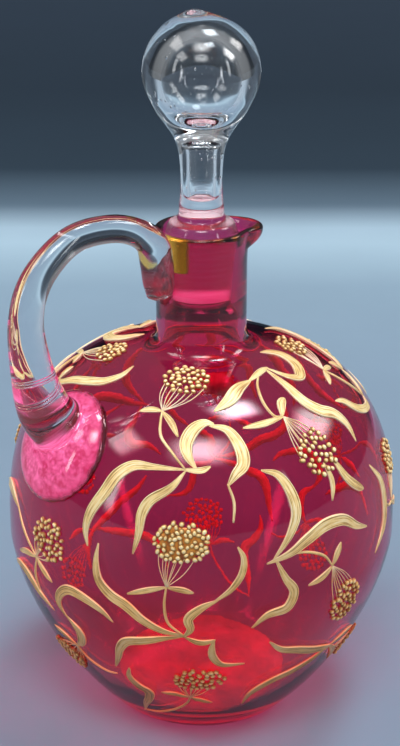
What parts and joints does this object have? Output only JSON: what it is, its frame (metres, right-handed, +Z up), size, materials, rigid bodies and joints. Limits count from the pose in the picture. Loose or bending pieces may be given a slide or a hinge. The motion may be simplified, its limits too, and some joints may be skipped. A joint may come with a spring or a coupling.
{
  "type": "glass decanter",
  "caption": "Globular tinted glass decanter with a cylindrical neck, pulled lip, clear loop handle, hollow ball stopper and raised enamel sprays of leaves and flower heads.",
  "frame": {"origin": "middle of the flat foot, on the surface that the decanter stands on", "axes": "+Z up along the neck and stopper; -X towards the handle; the pulled lip points to +X, 20 degrees towards -Y"},
  "size_m": [0.1362, 0.131, 0.2315],
  "materials": {
    "cranberry_glass": "clear polished cranberry-red glass",
    "clear_glass": "clear polished colourless glass",
    "gilt_enamel": "raised fired enamel paste with soft gold lustre"
  },
  "bodies": {
    "decanter_body": {"vessel": "cranberry_glass", "handle": "clear_glass", "spray_front_upper": "gilt_enamel", "spray_front_lower": "gilt_enamel", "spray_front_right_shoulder": "gilt_enamel", "spray_front_right_middle": "gilt_enamel", "spray_front_left_middle": "gilt_enamel", "spray_front_left_low": "gilt_enamel", "spray_front_bottom": "gilt_enamel", "spray_front_right_low": "gilt_enamel", "spray_front_crown": "gilt_enamel", "spray_front_right_edge": "gilt_enamel", "spray_back_upper": "gilt_enamel", "spray_back_lower": "gilt_enamel", "spray_back_right_shoulder": "gilt_enamel", "spray_back_right_middle": "gilt_enamel", "spray_back_left_middle": "gilt_enamel", "spray_back_left_low": "gilt_enamel", "spray_back_bottom": "gilt_enamel", "spray_back_right_low": "gilt_enamel", "spray_back_crown": "gilt_enamel", "spray_back_right_edge": "gilt_enamel", "spray_under_spout": "gilt_enamel"},
    "stopper_body": {"stopper": "clear_glass"}
  },
  "joints": [
    {"name": "stopper_lift", "type": "slide", "parent": "decanter_body", "child": "stopper_body", "axis": [0, 0, 1], "range_m": [0, 0.06]}
  ]
}
